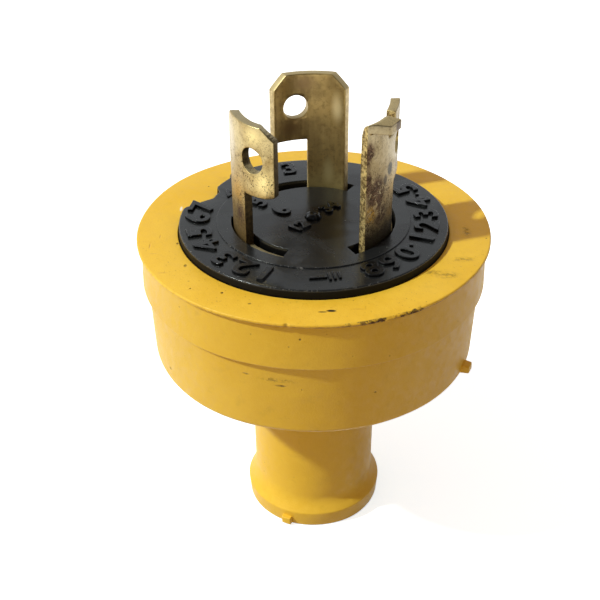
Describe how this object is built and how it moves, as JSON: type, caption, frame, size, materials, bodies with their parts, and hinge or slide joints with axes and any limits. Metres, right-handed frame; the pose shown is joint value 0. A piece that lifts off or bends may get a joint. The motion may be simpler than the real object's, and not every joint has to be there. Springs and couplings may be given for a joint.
{
  "type": "locking power plug",
  "caption": "Round locking power plug with a yellow rubber body, a black contact face and curved brass blades with hooked ends, standing on its cable end.",
  "frame": {"origin": "centre of the cable end face, where the plug stands", "axes": "+Z along the plug from the cable end towards the blades; -Y towards the viewer of the picture; +X to the viewer's right"},
  "size_m": [0.057, 0.057, 0.0767],
  "materials": {
    "yellow_rubber": "satin",
    "black_plastic": "gloss",
    "tarnished_brass": "tarnished",
    "natural_nylon": "matte",
    "plated_steel": "zinc plated",
    "brass_screw": "bright",
    "green_screw": "dyed green"
  },
  "bodies": {
    "root": {"rubber_body": "yellow_rubber", "face_insulator": "black_plastic", "line_blade_a": "tarnished_brass", "line_blade_b": "tarnished_brass", "ground_blade": "tarnished_brass", "terminal_carrier": "natural_nylon", "pressure_plate_a": "plated_steel", "pressure_plate_b": "plated_steel", "pressure_plate_ground": "plated_steel", "terminal_screw_a": "brass_screw", "terminal_screw_b": "plated_steel", "terminal_screw_ground": "green_screw", "assembly_screw_1": "plated_steel", "assembly_screw_2": "plated_steel", "assembly_screw_3": "plated_steel", "cord_clamp_left": "natural_nylon", "cord_clamp_right": "natural_nylon", "clamp_screw_front": "plated_steel", "clamp_screw_rear": "plated_steel", "clamp_nut_front": "plated_steel", "clamp_nut_rear": "plated_steel"}
  },
  "joints": []
}
